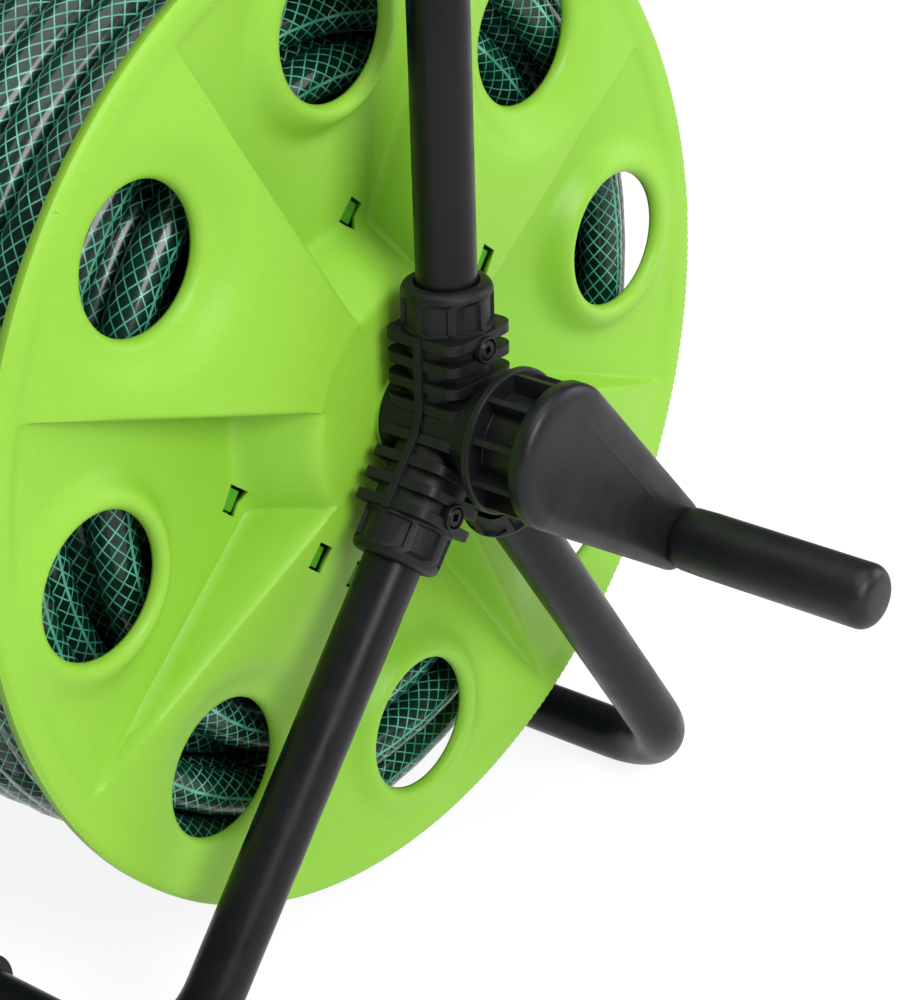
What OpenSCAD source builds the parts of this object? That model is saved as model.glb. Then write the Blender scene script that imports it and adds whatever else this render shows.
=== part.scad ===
// Garden hose reel cart: a reel with a crank between two hub housings, on an A-frame of bent
// steel tube with a push handle and two small wheels behind the rear foot.
// Every node is drawn in the reel frame (u, v, w): u fore-aft, v up and w along the reel's axle,
// with its origin on the axle at the middle of the reel.

/* [Reel] */
// Radius of the two flanges
flange_r = 195; // [180:1:200]
// Distance from the reel's middle to a flange's front rim
rim_w = 120; // [115:1:125]
// Outside radius of the drum that the hose is wound on
drum_r = 72; // [68:1:76]
// Radius of the round windows in a flange
window_r = 27; // [22:1:30]
// Pitch radius of the windows
window_pitch_r = 146; // [142:1:150]

/* [Frame] */
// Outside radius of the bent tubes
tube_r = 11; // [10:0.5:12]
// Wall of the bent tubes
tube_wall = 1.5; // [1:0.1:2]
// Distance from the reel's middle to the plane of the legs
leg_w = 152; // [150:1:156]
// Half the angle between the front and rear legs
leg_angle = 37; // [35:0.5:39]
// Distance from the reel's axle to a foot bar's axis
foot_reach = 257; // [252:1:264]
// Radius of the bend between a leg and its foot bar
foot_bend_r = 38; // [34:1:44]
// How far the handle leans back
handle_lean = 2.4; // [0:0.1:6]
// Distance from the reel's axle to the handle's top bar
handle_reach = 600; // [520:5:680]
// Radius of the bend between the handle's sides and its top bar
handle_bend_r = 70; // [50:1:90]

/* [Crank] */
// Distance from the reel's axle to the grip's axle
crank_r = 97; // [90:1:105]
// Angle of the crank at rest, from straight ahead
crank_angle = -37.4; // [-60:0.1:60]
// Radius of the crank's two hub discs
crank_disc_r = 27; // [24:1:30]
// Radius of the hand grip
grip_r = 12.5; // [11:0.5:14]
// Length of the hand grip
grip_len = 86; // [76:1:96]

/* [Hose] */
// Outside diameter of the hose
hose_d = 17.5; // [16:0.5:18]
// Outside radius of the winding
winding_r = 186; // [170:1:188]

/* [Wheels] */
// Radius of the wheels with their tyres
wheel_r = 52; // [46:1:56]
// Width of a tyre
tyre_width = 26; // [22:1:28]
// Distance from the reel's middle to a wheel's middle
wheel_w = 109; // [107:1:112]
// Distance of the wheels' axle behind the reel's axle
axle_u = -258; // [-266:1:-254]

/* [Hidden] */
$fn = 96;
eps = 0.01;

// Heights and places that follow from the driving sizes
axle_height = foot_reach * cos(leg_angle) + tube_r;
foot_u = foot_reach * sin(leg_angle);
foot_v = -foot_reach * cos(leg_angle);
wheel_v = wheel_r - axle_height;
front_leg_dir = -90 + leg_angle;
rear_leg_dir = -90 - leg_angle;
handle_dir = 90 + handle_lean;

// Flange: hub, floor and rim
hub_face_w = rim_w + 11.5;
hub_edge_r = 48;
hub_foot_r = 64;
floor_w = rim_w - 16;
rim_r = flange_r - 11;
skin = 2.6;
sector_half = 21;
wall_angle = 1.8;
sector_dirs = [for (i = [0:3]) 53.8 + 90 * i];
recess_dirs = [for (i = [0:3]) 8.8 + 90 * i];
slot_along = 10.3;
slot_across = 7.5;
dimple_w = rim_w - 5;
boss_w = rim_w + 0.5;

// Drum
panel_wall = 2.5;
panel_half = 88;
drum_half = floor_w - 3.4;
panel_dirs = [sector_dirs[0], sector_dirs[2]];
notch_dir = 301.3;

// Snap tabs of a drum half: place along and across its direction, height of the tip,
// depth of the root, length of the foot
tab_places = [[62.9, 12.3, hub_face_w - 4, 6, 10.7], [56.1, 39.7, floor_w - 0.5, 3, 8]];
tab_along = 8;
tab_across = 5.6;

// Shaft, bushes and housings
shaft_r = 9;
bush_bore_r = shaft_r + 0.05;
bush_r = 13;
washer_t = 1.5;
housing_in_w = hub_face_w + washer_t + 0.4;
housing_out_w = leg_w + 24;
barrel_r = 19;
socket_r = 15.5;
socket_start = 24;
socket_len = 38.5;
collar_end = 55;
collar_r = 16.6;
fin_half = 17;
fin_t = 3;
fin_pitch = 8.3;
fin_first = 11.5;
screw_at = 32.5;

// Crank
crank_in_w = housing_out_w + 2;
crank_disc_t = 3.5;
crank_spool_r = 19;
crank_out_w = crank_in_w + 21;
arm_end_r = 14;
grip_start_w = rim_w + 82;
grip_pin_r = 5;
grip_bore_r = grip_pin_r + 0.06;
grip_end_w = grip_start_w + 0.4 + grip_len;

// Water inlet side
spindle_bore_r = 6;
spindle_end_w = -(housing_out_w + 19);
elbow_in_w = -(housing_out_w + 3.4);
elbow_out_w = elbow_in_w - 24;
elbow_r = 14;
elbow_bore_r = 9.5;
branch_w = elbow_in_w - 14;
branch_r = 10.5;
branch_len = 36;
branch_hex_r = 13.5;
nipple_nose_r = 8;
nipple_len = 62;

// Hose and its end connector
coil_in_r = drum_r + 1;
coil_wall = 13;
coil_in_half = drum_half - 4;
coil_out_half = rim_w - 12;
step_r = winding_r - 20;
step_w = -(coil_out_half - 50);
hose_end_dir = 62;
connector_w = -(coil_out_half - 26);
connector_r = step_r + 14.6;
connector_bore_r = 8.05;

// Wheels
axle_r = 5;
axle_bore_r = axle_r + 0.06;
bracket_w = 46;
bracket_t = 16;
bolt_dir = 60;
clamp_gap = 4;
wheel_hub_half = 15;
axle_half = wheel_w + wheel_hub_half + 10;

// Shift that puts the origin under the middle of the model without the free hose
w_low = branch_w - branch_hex_r;
w_high = grip_end_w;
u_low = axle_u - wheel_r;
u_high = flange_r;
origin_shift = [-(w_low + w_high) / 2, -(u_low + u_high) / 2, axle_height];

// Places children in the reel frame
module reel_frame() {
    translate(origin_shift) rotate([90, 0, 90]) children();
}

// Turns children so that their local z points along direction dir in the u-v plane
module spoke(dir) {
    rotate([0, 0, dir]) rotate([0, 90, 0]) children();
}

// A round bar along w from w0 to w1
module bar(r, w0, w1) {
    translate([0, 0, min(w0, w1)]) cylinder(r = r, h = abs(w1 - w0));
}

// A sleeve along w
module sleeve(r, bore, w0, w1) {
    difference() {
        bar(r, w0, w1);
        bar(bore, min(w0, w1) - 1, max(w0, w1) + 1);
    }
}

// One side of a U-tube: leg, bend and half of the cross bar, in the plane of local x and z
module u_tube_half(r, start, reach, bend_r, over) {
    translate([start - over, 0, leg_w]) rotate([0, 90, 0]) cylinder(r = r, h = reach - bend_r - start + over);
    translate([reach - bend_r, 0, leg_w - bend_r]) rotate([90, 0, 0])
        rotate_extrude(angle = 90) translate([bend_r, 0]) circle(r = r);
    translate([reach, 0, 0]) cylinder(r = r, h = leg_w - bend_r);
}

module u_tube_solid(r, start, reach, bend_r, over) {
    u_tube_half(r, start, reach, bend_r, over);
    mirror([0, 0, 1]) u_tube_half(r, start, reach, bend_r, over);
}

// A bent tube that runs from both housings out along dir and across
module u_tube(dir, reach, bend_r) {
    rotate([0, 0, dir]) difference() {
        u_tube_solid(tube_r, socket_start, reach, bend_r, 0);
        u_tube_solid(tube_r - tube_wall, socket_start, reach, bend_r, 1);
    }
}

module handle_tube() {
    color([0.17, 0.17, 0.18]) reel_frame() u_tube(handle_dir, handle_reach, handle_bend_r);
}

module handle_sleeve() {
    color([0.08, 0.08, 0.09]) reel_frame() rotate([0, 0, handle_dir]) translate([handle_reach, 0, 0])
        sleeve(tube_r + 4.5, tube_r, -72, 72);
}

module front_foot_tube() {
    color([0.17, 0.17, 0.18]) reel_frame() u_tube(front_leg_dir, foot_reach, foot_bend_r);
}

module rear_foot_tube() {
    color([0.17, 0.17, 0.18]) reel_frame() u_tube(rear_leg_dir, foot_reach, foot_bend_r);
}

// A square fin with round corners around a socket, its middle at local z
module fin(z) {
    translate([0, 0, z - fin_t / 2]) intersection() {
        translate([-fin_half, -fin_half, 0]) cube([2 * fin_half, 2 * fin_half, fin_t]);
        cylinder(r = fin_half * 1.24, h = fin_t);
    }
}

// One tube socket with its fins, end collar, mid rib and screw boss
module socket_body(dir) {
    spoke(dir) {
        cylinder(r = socket_r, h = socket_len + 1);
        for (i = [0:3]) fin(fin_first + fin_pitch * i);
        translate([0, 0, socket_len]) cylinder(r = collar_r, h = collar_end - socket_len - 3);
        translate([0, 0, collar_end - 3]) cylinder(r1 = collar_r, r2 = collar_r - 3, h = 3);
        translate([-1.5, -fin_half - 1, fin_first - 4]) cube([3, 2 * fin_half + 2, 3.4 * fin_pitch]);
    }
}

module socket_bores(dir) {
    spoke(dir) translate([0, 0, socket_start - eps]) cylinder(r = tube_r, h = 60);
}

// Screw positions on a housing, one per socket, with local z pointing out along w
module at_screws() {
    for (dir = [handle_dir, front_leg_dir, rear_leg_dir])
        rotate([0, 0, dir]) translate([screw_at, 0, leg_w]) children();
}

module hub_housing() {
    difference() {
        union() {
            bar(barrel_r, housing_in_w, housing_out_w);
            translate([0, 0, leg_w])
                for (dir = [handle_dir, front_leg_dir, rear_leg_dir]) socket_body(dir);
            at_screws() cylinder(r = 5, h = fin_half + 1.5);
        }
        bar(bush_r, housing_in_w - 1, housing_out_w + 1);
        translate([0, 0, leg_w])
            for (dir = [handle_dir, front_leg_dir, rear_leg_dir]) socket_bores(dir);
        at_screws() translate([0, 0, tube_r + 1]) cylinder(r = 2, h = 20);
        at_screws() translate([0, 0, fin_half - 1.5]) cylinder(r = 3.9, h = 5);
    }
}

module hub_housing_crank_side() {
    color([0.12, 0.12, 0.13]) reel_frame() hub_housing();
}

module hub_housing_inlet_side() {
    color([0.12, 0.12, 0.13]) reel_frame() mirror([0, 0, 1]) hub_housing();
}

module housing_screw() {
    translate([0, 0, tube_r + 1]) cylinder(r = 2, h = fin_half - tube_r - 1.5);
    difference() {
        translate([0, 0, fin_half - 1.5]) cylinder(r = 3.8, h = 2.2);
        for (a = [0, 90]) rotate([0, 0, a]) translate([-2.4, -0.6, fin_half - 0.4]) cube([4.8, 1.2, 2]);
    }
}

module housing_screws() {
    color([0.1, 0.1, 0.1]) reel_frame() {
        at_screws() housing_screw();
        mirror([0, 0, 1]) at_screws() housing_screw();
    }
}

module bush() {
    sleeve(bush_r, bush_bore_r, housing_in_w, housing_out_w);
    sleeve(barrel_r - 1, bush_bore_r, housing_out_w, housing_out_w + 1.2);
}

module crank_side_bush() {
    color([0.85, 0.85, 0.8]) reel_frame() bush();
}

module inlet_side_bush() {
    color([0.85, 0.85, 0.8]) reel_frame() mirror([0, 0, 1]) bush();
}

// Bracket that clamps on the rear foot bar and carries the wheels' axle
module axle_bracket(w_mid) {
    arm_dir = atan2(wheel_v - foot_v, axle_u + foot_u);
    reel_frame() translate([0, 0, w_mid - bracket_t / 2]) difference() {
        union() {
            translate([-foot_u, foot_v, 0]) cylinder(r = tube_r + 4.5, h = bracket_t);
            hull() {
                translate([-foot_u, foot_v, 0]) rotate([0, 0, arm_dir]) translate([12, 0, 0])
                    cylinder(r = 9, h = bracket_t, $fn = 32);
                translate([axle_u, wheel_v, 0]) cylinder(r = 8, h = bracket_t, $fn = 32);
            }
            translate([axle_u, wheel_v, 0]) cylinder(r = 11, h = bracket_t);
        }
        translate([-foot_u, foot_v, -1]) cylinder(r = tube_r, h = bracket_t + 2);
        translate([-foot_u, foot_v, bracket_t / 2]) spoke(bolt_dir) cylinder(r = 2.5, h = 30);
        translate([axle_u, wheel_v, -1]) cylinder(r = axle_r, h = bracket_t + 2);
        // the clamp is open below, so that the foot bar still meets the ground
        translate([-foot_u - 50, foot_v - tube_r - 20, -1]) cube([100, 20 + clamp_gap, bracket_t + 2]);
    }
}

module axle_bracket_left() {
    color([0.12, 0.12, 0.13]) axle_bracket(-bracket_w);
}

module axle_bracket_right() {
    color([0.12, 0.12, 0.13]) axle_bracket(bracket_w);
}

// Hexagon-headed bolts that lock the brackets on the foot bar from above
module bracket_bolts() {
    color([0.6, 0.6, 0.62]) reel_frame() for (s = [-1, 1])
        translate([-foot_u, foot_v, s * bracket_w]) spoke(bolt_dir) translate([0, 0, tube_r + 4.6]) {
            cylinder(r = 4.6, h = 4, $fn = 6);
            translate([0, 0, -4.6]) cylinder(r = 2.5, h = 5);
        }
}

module wheel_axle() {
    color([0.75, 0.75, 0.76]) reel_frame() translate([axle_u, wheel_v, 0]) bar(axle_r, -axle_half, axle_half);
}

module axle_washers() {
    color([0.75, 0.75, 0.76]) reel_frame() translate([axle_u, wheel_v, 0]) for (s = [-1, 1], side = [-1, 1]) {
        w_mid = s * wheel_w + side * (wheel_hub_half + 0.4 + washer_t / 2);
        sleeve(10, axle_r, w_mid - washer_t / 2, w_mid + washer_t / 2);
    }
}

module axle_caps() {
    cap_in = wheel_w + wheel_hub_half + 0.4 + washer_t;
    color([0.08, 0.08, 0.09]) reel_frame() translate([axle_u, wheel_v, 0])
        for (s = [0, 1]) mirror([0, 0, s]) difference() {
            union() {
                bar(9, cap_in, axle_half);
                translate([0, 0, axle_half]) cylinder(r1 = 9, r2 = 6.5, h = 2.5);
            }
            bar(axle_r, cap_in - 1, axle_half);
        }
}

// Flange parts, drawn for the crank side
module flange_revolve(points, from_dir, sweep) {
    rotate([0, 0, from_dir]) rotate_extrude(angle = sweep) polygon(points);
}

// Window positions, with local z along w
module at_windows(dirs) {
    for (dir = dirs) rotate([0, 0, dir]) translate([window_pitch_r, 0, 0]) children();
}

module window_tube(w0, w1) {
    translate([0, 0, w0]) difference() {
        cylinder(r = window_r + 2.6, h = w1 - w0);
        translate([0, 0, -1]) cylinder(r = window_r, h = w1 - w0 + 2);
    }
}

// Slots that take the snap tabs of the drum panels
module tab_slots() {
    for (dir = panel_dirs, p = tab_places, s = [-1, 1]) rotate([0, 0, dir])
        translate([p[0] - slot_along / 2, s * p[1] - slot_across / 2, floor_w - 20])
            cube([slot_along, slot_across, 60]);
}

// The flange is carved from one turned blank: pockets from the front, hollows from behind
module flange() {
    top_w = hub_face_w;
    difference() {
        union() {
            difference() {
                rotate_extrude() polygon([
                    [shaft_r, top_w - 26], [17, top_w - 26], [17, top_w - skin], [hub_edge_r - 4, top_w - skin],
                    [hub_foot_r - 2, floor_w - skin], [rim_r, rim_w - 1 - skin], [flange_r - 3, rim_w - skin],
                    [flange_r - 3, rim_w - 5], [flange_r, rim_w - 5], [flange_r, rim_w - 1.5],
                    [flange_r - 2, rim_w], [rim_r + 2.5, rim_w], [rim_r, rim_w - 0.8], [hub_edge_r, top_w],
                    [shaft_r, top_w]
                ]);
                // recessed floors between the raised sectors
                for (dir = recess_dirs) flange_revolve([
                    [hub_edge_r + 0.3, top_w + 2], [hub_foot_r, floor_w], [rim_r - 1, rim_w - 1.4],
                    [rim_r - 1, top_w + 2]
                ], dir - 45 + sector_half, 90 - 2 * sector_half);
                // hollows under the raised sectors
                for (dir = sector_dirs) flange_revolve([
                    [hub_edge_r + 2, top_w - skin - 0.4], [rim_r - 20, rim_w + 0.8 - skin],
                    [rim_r - 20, floor_w - 9], [hub_edge_r + 2, floor_w - 9]
                ], dir - sector_half + wall_angle, 2 * (sector_half - wall_angle));
            }
            at_windows(recess_dirs) window_tube(floor_w + 4.5, boss_w);
            // window tubes that drop from the raised sectors
            intersection() {
                at_windows(sector_dirs) window_tube(dimple_w, rim_w + 8);
                rotate_extrude() polygon([
                    [window_pitch_r - 40, dimple_w - 2], [window_pitch_r + 36, dimple_w - 2],
                    [window_pitch_r + 36, rim_w - 0.8], [window_pitch_r - 40, rim_w + 5]
                ]);
            }
        }
        at_windows(concat(sector_dirs, recess_dirs))
            translate([0, 0, floor_w - 10]) cylinder(r = window_r, h = 40);
        tab_slots();
    }
}

module crank_side_flange() {
    color([0.5, 0.85, 0.25]) reel_frame() flange();
}

module inlet_side_flange() {
    color([0.5, 0.85, 0.25]) reel_frame() mirror([0, 0, 1]) flange();
}

// Half of the drum, with two long tabs and two short ones at each end
module drum_panel(dir, notched = false) {
    color([0.45, 0.8, 0.22]) reel_frame() difference() {
        union() {
            rotate([0, 0, dir - panel_half]) rotate_extrude(angle = 2 * panel_half)
                translate([drum_r - panel_wall, -drum_half]) square([panel_wall, 2 * drum_half]);
            rotate([0, 0, dir]) for (end = [0, 1], side = [-1, 1], p = tab_places)
                mirror([0, 0, end]) translate([p[0], side * p[1], 0]) {
                    translate([-tab_along / 2, -tab_across / 2, drum_half - p[3]])
                        cube([tab_along, tab_across, p[2] - drum_half + p[3]]);
                    // foot that joins the tab to the wall
                    translate([-tab_along / 2, -tab_across / 2, drum_half - p[3]])
                        cube([p[4], tab_across, p[3] - 1]);
                }
        }
        // notch that lets the hose out of the drum
        if (notched) rotate([0, 0, notch_dir]) translate([drum_r - 20, -hose_d, -drum_half - 1])
            cube([40, 2 * hose_d, hose_d + 14]);
    }
}

module drum_panel_1() { drum_panel(panel_dirs[0]); }
module drum_panel_2() { drum_panel(panel_dirs[1], notched = true); }

module thrust_washers() {
    color([0.5, 0.85, 0.25]) reel_frame() for (s = [0, 1]) mirror([0, 0, s])
        sleeve(18, shaft_r, hub_face_w, hub_face_w + washer_t);
}

module crank_shaft() {
    color([0.7, 0.7, 0.72]) reel_frame() difference() {
        bar(shaft_r, hub_face_w - 30, crank_out_w);
        translate([0, 0, crank_in_w + 10]) spoke(45) translate([0, 0, -20]) cylinder(r = 2, h = 40);
    }
}

// Crank: two hub discs joined by a ribbed spool, and a tapered shell out to the grip's pin
module crank_arm() {
    color([0.12, 0.12, 0.13]) reel_frame() rotate([0, 0, crank_angle]) difference() {
        union() {
            bar(crank_disc_r, crank_in_w, crank_in_w + crank_disc_t);
            bar(crank_spool_r, crank_in_w, crank_out_w);
            for (a = [0:45:315]) rotate([0, 0, a]) translate([0, -1.2, crank_in_w])
                cube([crank_disc_r - 1, 2.4, crank_out_w - crank_in_w + 1]);
            bar(crank_disc_r, crank_out_w, crank_out_w + 5);
            hull() {
                translate([0, 0, crank_out_w]) cylinder(r = crank_disc_r, h = 5, $fn = 48);
                translate([0, 0, crank_out_w]) cylinder(r = crank_disc_r - 6, h = 8, $fn = 48);
                translate([crank_r, 0, grip_start_w - 12]) cylinder(r = arm_end_r, h = 9, $fn = 32);
                translate([crank_r, 0, grip_start_w - 3]) cylinder(r = arm_end_r - 2, h = 3, $fn = 32);
            }
        }
        bar(shaft_r, crank_in_w - 1, crank_out_w);
        translate([crank_r, 0, 0]) bar(grip_pin_r, grip_start_w - 10, grip_start_w + 1);
        // flat seat for the turning grip
        translate([crank_r, 0, 0]) bar(grip_r + 1, grip_start_w, grip_start_w + 10);
        translate([0, 0, crank_in_w + 10]) rotate([0, 0, 45 - crank_angle]) rotate([0, 90, 0])
            translate([0, 0, -40]) cylinder(r = 2, h = 80);
    }
}

// Pin through the crank's spool and the shaft
module crank_lock_pin() {
    color([0.7, 0.7, 0.72]) reel_frame() translate([0, 0, crank_in_w + 10]) spoke(45)
        translate([0, 0, -18]) cylinder(r = 2, h = 36);
}

module at_grip() {
    reel_frame() rotate([0, 0, crank_angle]) translate([crank_r, 0, 0]) children();
}

module grip_pin() {
    color([0.7, 0.7, 0.72]) at_grip() difference() {
        bar(grip_pin_r, grip_start_w - 10, grip_end_w - 12);
        sleeve(grip_pin_r + 2, grip_pin_r - 0.9, grip_end_w - 16, grip_end_w - 14.5);
    }
}

// Hand grip that turns on the pin, open at its outer end for the clip
module grip_sleeve() {
    color([0.12, 0.12, 0.13]) at_grip() difference() {
        union() {
            translate([0, 0, grip_start_w + 0.4]) cylinder(r1 = grip_r - 1, r2 = grip_r, h = 3);
            bar(grip_r, grip_start_w + 3.4, grip_end_w - 8);
        }
        bar(grip_bore_r, grip_start_w, grip_end_w);
        bar(grip_r - 3.5, grip_end_w - 17, grip_end_w);
    }
}

// Clip in the pin's groove that keeps the grip on
module grip_retaining_clip() {
    color([0.7, 0.7, 0.72]) at_grip() difference() {
        sleeve(grip_r - 4.5, grip_pin_r - 0.9, grip_end_w - 16, grip_end_w - 14.5);
        translate([0, -2, grip_end_w - 20]) cube([20, 4, 10]);
    }
}

// Round plug that closes the grip's outer end
module grip_end_cap() {
    color([0.12, 0.12, 0.13]) at_grip() difference() {
        union() {
            bar(grip_r - 3.5, grip_end_w - 11, grip_end_w - 8);
            translate([0, 0, grip_end_w - 8]) rotate_extrude() polygon(concat(
                [[0, 0]],
                [for (a = [0:10:90]) [grip_r - 6 + 6 * cos(a), 2 + 6 * sin(a)]],
                [[0, 8]]
            ));
            bar(grip_r, grip_end_w - 8, grip_end_w - 6);
        }
        bar(grip_pin_r + 1, grip_end_w - 12, grip_end_w - 10);
    }
}

// Hollow axle on the inlet side, which turns with the reel and carries the water in
module water_spindle() {
    color([0.12, 0.12, 0.13]) reel_frame() difference() {
        bar(shaft_r, -(hub_face_w - 34), spindle_end_w);
        bar(spindle_bore_r, -(hub_face_w - 40), spindle_end_w - 1);
        for (w = [spindle_end_w + 3, spindle_end_w + 8]) sleeve(shaft_r + 2, shaft_r - 1.4, w, w + 2.6);
        sleeve(shaft_r + 2, shaft_r - 0.9, -(housing_out_w + 1.6), -(housing_out_w + 3));
    }
}

module spindle_o_rings() {
    color([0.05, 0.05, 0.05]) reel_frame() for (w = [spindle_end_w + 3, spindle_end_w + 8])
        translate([0, 0, w + 1.3]) rotate_extrude() translate([shaft_r - 0.5, 0]) circle(r = 0.9, $fn = 32);
}

// Open ring in the spindle's groove, against the inlet side bush
module spindle_clip() {
    color([0.7, 0.7, 0.72]) reel_frame() difference() {
        sleeve(13, shaft_r - 0.9, -(housing_out_w + 1.6), -(housing_out_w + 3));
        translate([-4, 0, -(housing_out_w + 4)]) cube([8, 20, 4]);
    }
}

// Elbow inside the drum that turns the water out to the hose's inner end
module outlet_elbow() {
    inner_w = -(hub_face_w - 34);
    color([0.12, 0.12, 0.13]) reel_frame() rotate([0, 0, 262]) difference() {
        union() {
            bar(13, inner_w - 8, inner_w + 20);
            translate([0, 0, inner_w + 9]) rotate([0, 90, 0]) cylinder(r = 9, h = 56);
            translate([56, 0, inner_w + 9]) sphere(r = 9);
            translate([56, 0, inner_w + 9]) rotate([-90, 0, 0]) cylinder(r = 6, h = 26);
        }
        bar(shaft_r, inner_w - 9, inner_w);
        bar(spindle_bore_r, inner_w - 1, inner_w + 14);
        translate([0, 0, inner_w + 9]) rotate([0, 90, 0]) cylinder(r = 5, h = 56);
        translate([56, 0, inner_w + 9]) rotate([-90, 0, 0]) cylinder(r = 4, h = 27);
    }
}

module hose_clamp() {
    inner_w = -(hub_face_w - 34);
    color([0.75, 0.75, 0.76]) reel_frame() rotate([0, 0, 262])
        translate([56, 12, inner_w + 9]) rotate([-90, 180, 0]) difference() {
            union() {
                cylinder(r = hose_d / 2 + 1.2, h = 8);
                translate([0, -4, 0]) cube([hose_d / 2 + 7, 8, 8]);
            }
            translate([0, 0, -1]) cylinder(r = hose_d / 2, h = 10);
            translate([0, -0.8, -1]) cube([30, 1.6, 10]);
        }
}

// Swivelling inlet elbow on the spindle's end, its branch hanging down
module inlet_elbow() {
    color([0.12, 0.12, 0.13]) reel_frame() difference() {
        union() {
            bar(elbow_r, elbow_in_w, elbow_out_w);
            translate([0, 0, branch_w]) spoke(-90) cylinder(r = branch_r, h = branch_len - 6);
            translate([0, 0, branch_w]) spoke(-90) translate([0, 0, branch_len - 10])
                cylinder(r = branch_hex_r, h = 10, $fn = 6);
        }
        bar(elbow_bore_r, elbow_in_w + 1, elbow_out_w + 3);
        translate([0, 0, branch_w]) spoke(-90) cylinder(r = spindle_bore_r, h = branch_len + 1);
        translate([0, 0, branch_w]) spoke(-90) translate([0, 0, branch_len - 8]) cylinder(r = 9, h = 9);
    }
}

module inlet_washer() {
    color([0.05, 0.05, 0.05]) reel_frame() translate([0, 0, branch_w]) spoke(-90)
        translate([0, 0, branch_len - 8]) difference() {
            cylinder(r = 9, h = 2);
            translate([0, 0, -1]) cylinder(r = spindle_bore_r, h = 4);
        }
}

// Hose connector nipple, screwed into the elbow
module inlet_nipple() {
    color([0.9, 0.45, 0.1]) reel_frame() translate([0, 0, branch_w]) spoke(-90) difference() {
        union() {
            translate([0, 0, branch_len - 6]) cylinder(r = 9, h = 6);
            translate([0, 0, branch_len]) cylinder(r = 12.5, h = 6, $fn = 8);
            translate([0, 0, branch_len]) cylinder(r = 6.6, h = nipple_len - branch_len - 2);
            translate([0, 0, branch_len + 6]) cylinder(r = 8.6, h = 4);
            translate([0, 0, nipple_len - 12]) cylinder(r = nipple_nose_r, h = 12);
        }
        translate([0, 0, branch_len - 7]) cylinder(r = 4.5, h = 40);
    }
}

// The wound hose as one closed ring with a sealed hollow; its inlet end is stepped for the connector
module hose_coil() {
    cavity = coil_wall;
    color([0.05, 0.3, 0.22]) reel_frame() difference() {
        rotate_extrude() polygon([
            [coil_in_r, -coil_in_half], [step_r, -coil_out_half], [step_r, step_w], [winding_r, step_w],
            [winding_r, coil_out_half], [coil_in_r, coil_in_half]
        ]);
        rotate_extrude() polygon([
            [coil_in_r + cavity, -coil_in_half + cavity], [step_r - cavity, -coil_out_half + cavity],
            [step_r - cavity, coil_out_half - cavity], [coil_in_r + cavity, coil_in_half - cavity]
        ]);
    }
}

// The hose end connector lies along the winding, over the stepped part of the coil
module at_connector() {
    reel_frame() rotate([0, 0, hose_end_dir]) translate([connector_r, 0, connector_w]) rotate([-90, 0, 0]) children();
}

module connector_tail() {
    color([0.12, 0.12, 0.13]) at_connector() difference() {
        union() {
            translate([0, 0, -8]) cylinder(r = 6.2, h = 20);
            translate([0, 0, 12]) cylinder(r = 9, h = 4);
        }
        translate([0, 0, -9]) cylinder(r = 4.6, h = 30);
    }
}

module connector_nut() {
    color([0.9, 0.45, 0.1]) at_connector() difference() {
        union() {
            cylinder(r1 = 11.5, r2 = 13.5, h = 4);
            translate([0, 0, 4]) cylinder(r = 13.5, h = 12);
        }
        translate([0, 0, -1]) cylinder(r = 8.8, h = 13);
        translate([0, 0, 12 - eps]) cylinder(r = 9, h = 5);
    }
}

module connector_body() {
    color([0.12, 0.12, 0.13]) at_connector() difference() {
        translate([0, 0, 16]) cylinder(r = 11, h = 26);
        translate([0, 0, 15]) cylinder(r = 5, h = 30);
        translate([0, 0, 26]) cylinder(r = 7.5, h = 3);
        translate([0, 0, 28]) cylinder(r = connector_bore_r, h = 15);
    }
}

// Release collar that slides back on the connector body
module connector_collar() {
    color([0.9, 0.45, 0.1]) at_connector() difference() {
        translate([0, 0, 22]) cylinder(r = 13.6, h = 16);
        translate([0, 0, 21]) cylinder(r = 11.05, h = 18);
    }
}

module connector_seal() {
    color([0.05, 0.05, 0.05]) at_connector() difference() {
        translate([0, 0, 26]) cylinder(r = 7.5, h = 2);
        translate([0, 0, 25]) cylinder(r = 5, h = 4);
    }
}

// Spoked wheel centre, with local z along the axle
module wheel(w_mid) {
    rim_out = wheel_r - 9;
    color([0.12, 0.12, 0.13]) reel_frame() translate([axle_u, wheel_v, w_mid]) difference() {
        union() {
            bar(11, -wheel_hub_half, wheel_hub_half);
            difference() {
                bar(rim_out, -tyre_width / 2 + 2, tyre_width / 2 - 2);
                bar(rim_out - 5, -tyre_width, tyre_width);
            }
            bar(rim_out - 3, -1.5, 1.5);
            for (a = [0:60:300]) rotate([0, 0, a]) translate([0, -2, -7]) cube([rim_out - 3, 4, 14]);
        }
        bar(axle_bore_r, -tyre_width, tyre_width);
    }
}

module tyre(w_mid) {
    half = tyre_width / 2;
    color([0.06, 0.06, 0.06]) reel_frame() translate([axle_u, wheel_v, w_mid]) rotate_extrude() polygon([
        [wheel_r - 9, -half], [wheel_r - 4, -half], [wheel_r, -half + 5], [wheel_r, half - 5],
        [wheel_r - 4, half], [wheel_r - 9, half]
    ]);
}

module wheel_left() { wheel(-wheel_w); }
module wheel_right() { wheel(wheel_w); }
module tyre_left() { tyre(-wheel_w); }
module tyre_right() { tyre(wheel_w); }

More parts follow.
